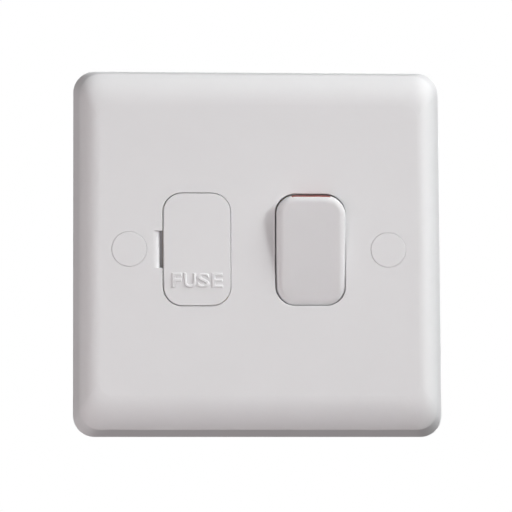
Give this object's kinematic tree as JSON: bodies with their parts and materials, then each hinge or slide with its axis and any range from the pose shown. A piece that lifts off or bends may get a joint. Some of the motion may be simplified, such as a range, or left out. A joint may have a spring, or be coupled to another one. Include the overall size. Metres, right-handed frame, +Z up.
{
  "type": "switched fused spur unit",
  "caption": "Square white wall plate with a rocker switch, a pull-out fuse carrier and a rear terminal housing, which feeds a fixed appliance through a fuse.",
  "frame": {"origin": "centre of the plate's back, on the wall plane", "axes": "+Y into the wall, +Z up, +X to the right as seen from the room; the front faces -Y"},
  "size_m": [0.086, 0.0321, 0.086],
  "materials": {
    "plate_white": "smooth moulded urea, semi-gloss",
    "rocker_white": "smooth moulded plastic, semi-gloss",
    "flash_red": "smooth moulded plastic",
    "housing_white": "moulded, fine matte",
    "nylon": "moulded nylon",
    "spring_steel": "drawn wire",
    "zinc_steel": "bright zinc plate",
    "brass": "extruded or rolled brass",
    "clip_brass": "rolled spring brass",
    "silver": "silver alloy, dull",
    "ceramic": "glazed ceramic",
    "cap_brass": "nickel-washed brass"
  },
  "bodies": {
    "base": {"assembly_screws": "zinc_steel", "clamp_screws": "zinc_steel", "earth_terminal": "brass", "face_plate": "plate_white", "fixed_buttons": "silver", "fixing_screws": "zinc_steel", "left_screw_cap": "plate_white", "live_fixed_contact": "brass", "live_fulcrum_link": "brass", "live_load_terminal": "brass", "live_supply_terminal": "brass", "load_fuse_clip": "clip_brass", "neutral_fixed_contact": "brass", "neutral_fulcrum_link": "brass", "neutral_load_terminal": "brass", "neutral_supply_terminal": "brass", "rear_housing": "housing_white", "right_screw_cap": "plate_white", "supply_fuse_clip": "clip_brass"},
    "rocker": {"rocker": "rocker_white", "rocker_flash": "flash_red", "live_plunger_spring": "spring_steel", "neutral_plunger_spring": "spring_steel"},
    "live_plunger": {"live_plunger": "nylon"},
    "neutral_plunger": {"neutral_plunger": "nylon"},
    "live_seesaw": {"live_seesaw_contact": "brass", "live_moving_button": "silver"},
    "neutral_seesaw": {"neutral_seesaw_contact": "brass", "neutral_moving_button": "silver"},
    "fuse_carrier": {"fuse_carrier": "plate_white", "fuse_tube": "ceramic", "fuse_end_caps": "cap_brass"}
  },
  "joints": [
    {"name": "rocker_tip", "type": "hinge", "parent": "base", "child": "rocker", "pos_m": [0.01206, -0.0051, 0], "axis": [1, 0, 0], "range_deg": [-15, 0]},
    {"name": "fuse_carrier_slide", "type": "slide", "parent": "base", "child": "fuse_carrier", "axis": [0, -1, 0], "range_m": [0, 0.0125]},
    {"name": "live_seesaw_tip", "type": "hinge", "parent": "base", "child": "live_seesaw", "pos_m": [0.00796, 0.0089, 0], "axis": [1, 0, 0], "range_deg": [0, 13]},
    {"name": "live_plunger_slide", "type": "slide", "parent": "rocker", "child": "live_plunger", "axis": [0, -0.9914, -0.1305], "range_m": [0, 0.0007], "stiffness_N_per_m": 100, "deforming": ["live_plunger_spring"]},
    {"name": "neutral_seesaw_tip", "type": "hinge", "parent": "base", "child": "neutral_seesaw", "pos_m": [0.01616, 0.0089, 0], "axis": [1, 0, 0], "range_deg": [0, 13]},
    {"name": "neutral_plunger_slide", "type": "slide", "parent": "rocker", "child": "neutral_plunger", "axis": [0, -0.9914, -0.1305], "range_m": [0, 0.0007], "stiffness_N_per_m": 100, "deforming": ["neutral_plunger_spring"]}
  ],
  "couplings": [
    {"joint": "live_seesaw_tip", "follows": "rocker_tip", "ratio": -0.8666},
    {"joint": "neutral_seesaw_tip", "follows": "rocker_tip", "ratio": -0.8666}
  ]
}
